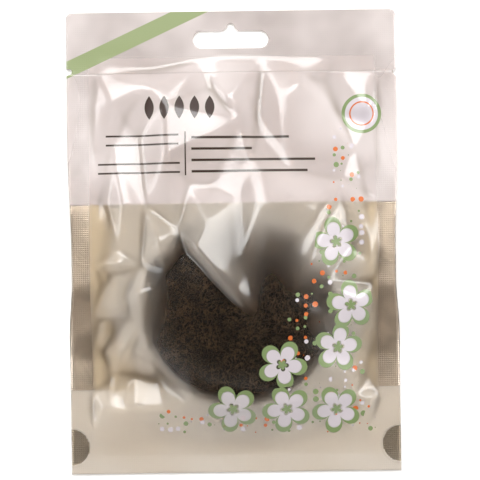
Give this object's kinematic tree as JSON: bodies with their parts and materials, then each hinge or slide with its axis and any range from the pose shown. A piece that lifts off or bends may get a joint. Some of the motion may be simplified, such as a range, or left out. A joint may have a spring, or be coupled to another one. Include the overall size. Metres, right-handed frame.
{
  "type": "konjac sponge",
  "caption": "Half-ball konjac facial sponge in a flat heat-sealed stand-up pouch with a folded bottom gusset, tear notches and a tear-off header with a hang slot.",
  "frame": {"origin": "under the middle of the pouch's outline, on the surface that the pouch lies on", "axes": "+X to the pouch's right, +Y to the header and its hang slot, +Z out of the front film"},
  "size_m": [0.14, 0.196, 0.0264],
  "materials": {
    "clear_film": "gloss",
    "metallised_film": "gloss",
    "gusset_film": "satin",
    "charcoal_konjac": "matte"
  },
  "bodies": {
    "pouch": {"back_panel": "metallised_film", "front_panel": "clear_film", "bottom_gusset": "gusset_film"},
    "tear_header": {"header_front_film": "clear_film", "header_back_film": "metallised_film"},
    "sponge": {"sponge": "charcoal_konjac"}
  },
  "joints": [
    {"name": "header_tear", "type": "hinge", "parent": "pouch", "child": "tear_header", "pos_m": [-0.07, 0.072, 0], "axis": [0, 0, 1], "range_deg": [0, 100]},
    {"name": "sponge_out", "type": "slide", "parent": "pouch", "child": "sponge", "axis": [0, 1, 0], "range_m": [0, 0.172], "deforming": ["front_panel"]}
  ]
}
